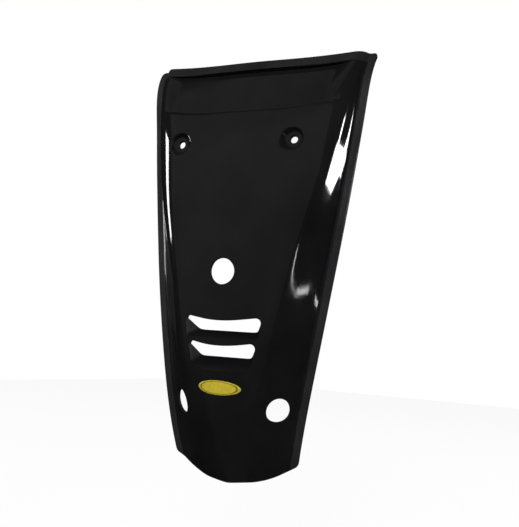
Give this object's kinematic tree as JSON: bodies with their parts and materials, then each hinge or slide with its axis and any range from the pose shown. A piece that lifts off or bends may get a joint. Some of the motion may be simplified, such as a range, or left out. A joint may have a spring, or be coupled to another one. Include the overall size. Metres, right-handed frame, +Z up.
{
  "type": "motorcycle front fairing panel",
  "caption": "Tapered gloss black moulded front panel of a small motorcycle: crowned face, side flanges, top recess, dished screw seats, louvred vents, round holes and a plain oval badge.",
  "frame": {"origin": "midway between the two screw holes, in the plane of the dished seats that the screw heads press on", "axes": "+X across the panel to the right of someone who looks at its front, +Y towards the back (the front faces -Y), +Z up along the panel"},
  "size_m": [0.2314, 0.0707, 0.4091],
  "materials": {
    "panel_plastic": "gloss black moulded ABS",
    "badge_film": "satin yellow film"
  },
  "bodies": {
    "root": {"fairing_panel": "panel_plastic", "oval_badge": "badge_film"}
  },
  "joints": []
}
